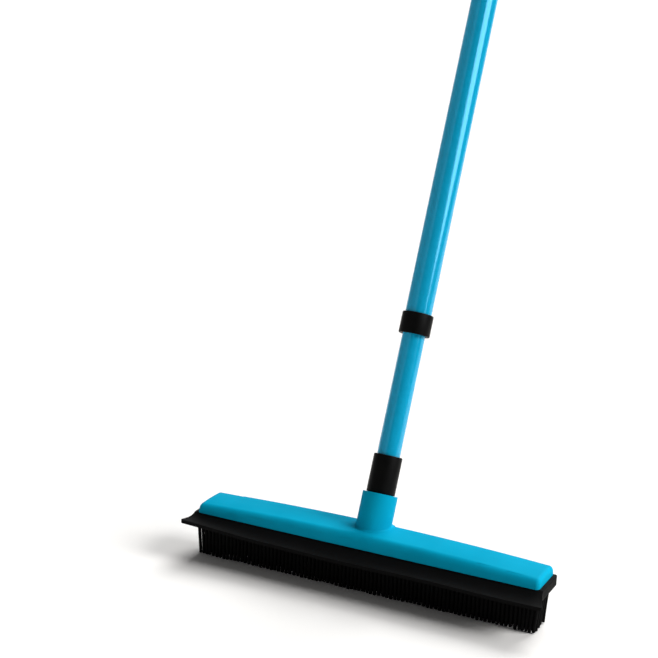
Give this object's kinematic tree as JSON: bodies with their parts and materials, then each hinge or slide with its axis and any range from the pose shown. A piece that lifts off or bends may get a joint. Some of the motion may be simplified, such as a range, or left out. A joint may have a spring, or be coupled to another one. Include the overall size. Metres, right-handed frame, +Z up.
{
  "type": "rubber carpet broom",
  "caption": "Rubber broom for raking hair from carpet: narrow crowned head with rubber bristles and a squeegee lip, on a leaning telescopic twist-lock pole with a hanging cap.",
  "frame": {"origin": "tip of the middle bristle, on the floor", "axes": "+X along the head, -Y towards the squeegee lip, +Z up; the pole leans back towards +Y"},
  "size_m": [0.3132, 0.381, 0.8275],
  "materials": {
    "blue_plastic": "satin moulded plastic",
    "blue_paint": "gloss paint on thin steel tube",
    "black_plastic": "satin moulded plastic",
    "black_rubber": "matte rubber",
    "lock_plastic": "natural nylon",
    "steel": "zinc plated"
  },
  "bodies": {
    "head": {"head_shell": "blue_plastic", "rubber_base": "black_rubber", "bristles": "black_rubber"},
    "lower_pole": {"ferrule": "black_plastic", "lower_tube": "blue_paint", "lock_plug": "lock_plastic", "lock_stud": "steel", "stop_washer": "steel", "stop_nut": "steel"},
    "lock_sleeve": {"lock_expander": "lock_plastic"},
    "upper_pole": {"upper_tube": "blue_paint", "collar": "black_plastic", "hang_cap": "black_plastic"}
  },
  "joints": [
    {"name": "handle_unscrew", "type": "slide", "parent": "head", "child": "lower_pole", "axis": [0, 0.3955, 0.9184], "range_m": [0, 0.032]},
    {"name": "lock_twist", "type": "hinge", "parent": "lower_pole", "child": "lock_sleeve", "pos_m": [0, 0.26555, 0.63665], "axis": [0, 0.3955, 0.9184], "range_deg": [0, 180]},
    {"name": "telescope", "type": "slide", "parent": "lock_sleeve", "child": "upper_pole", "axis": [0, 0.3955, 0.9184], "range_m": [-0.0999, 0.4744]}
  ]
}
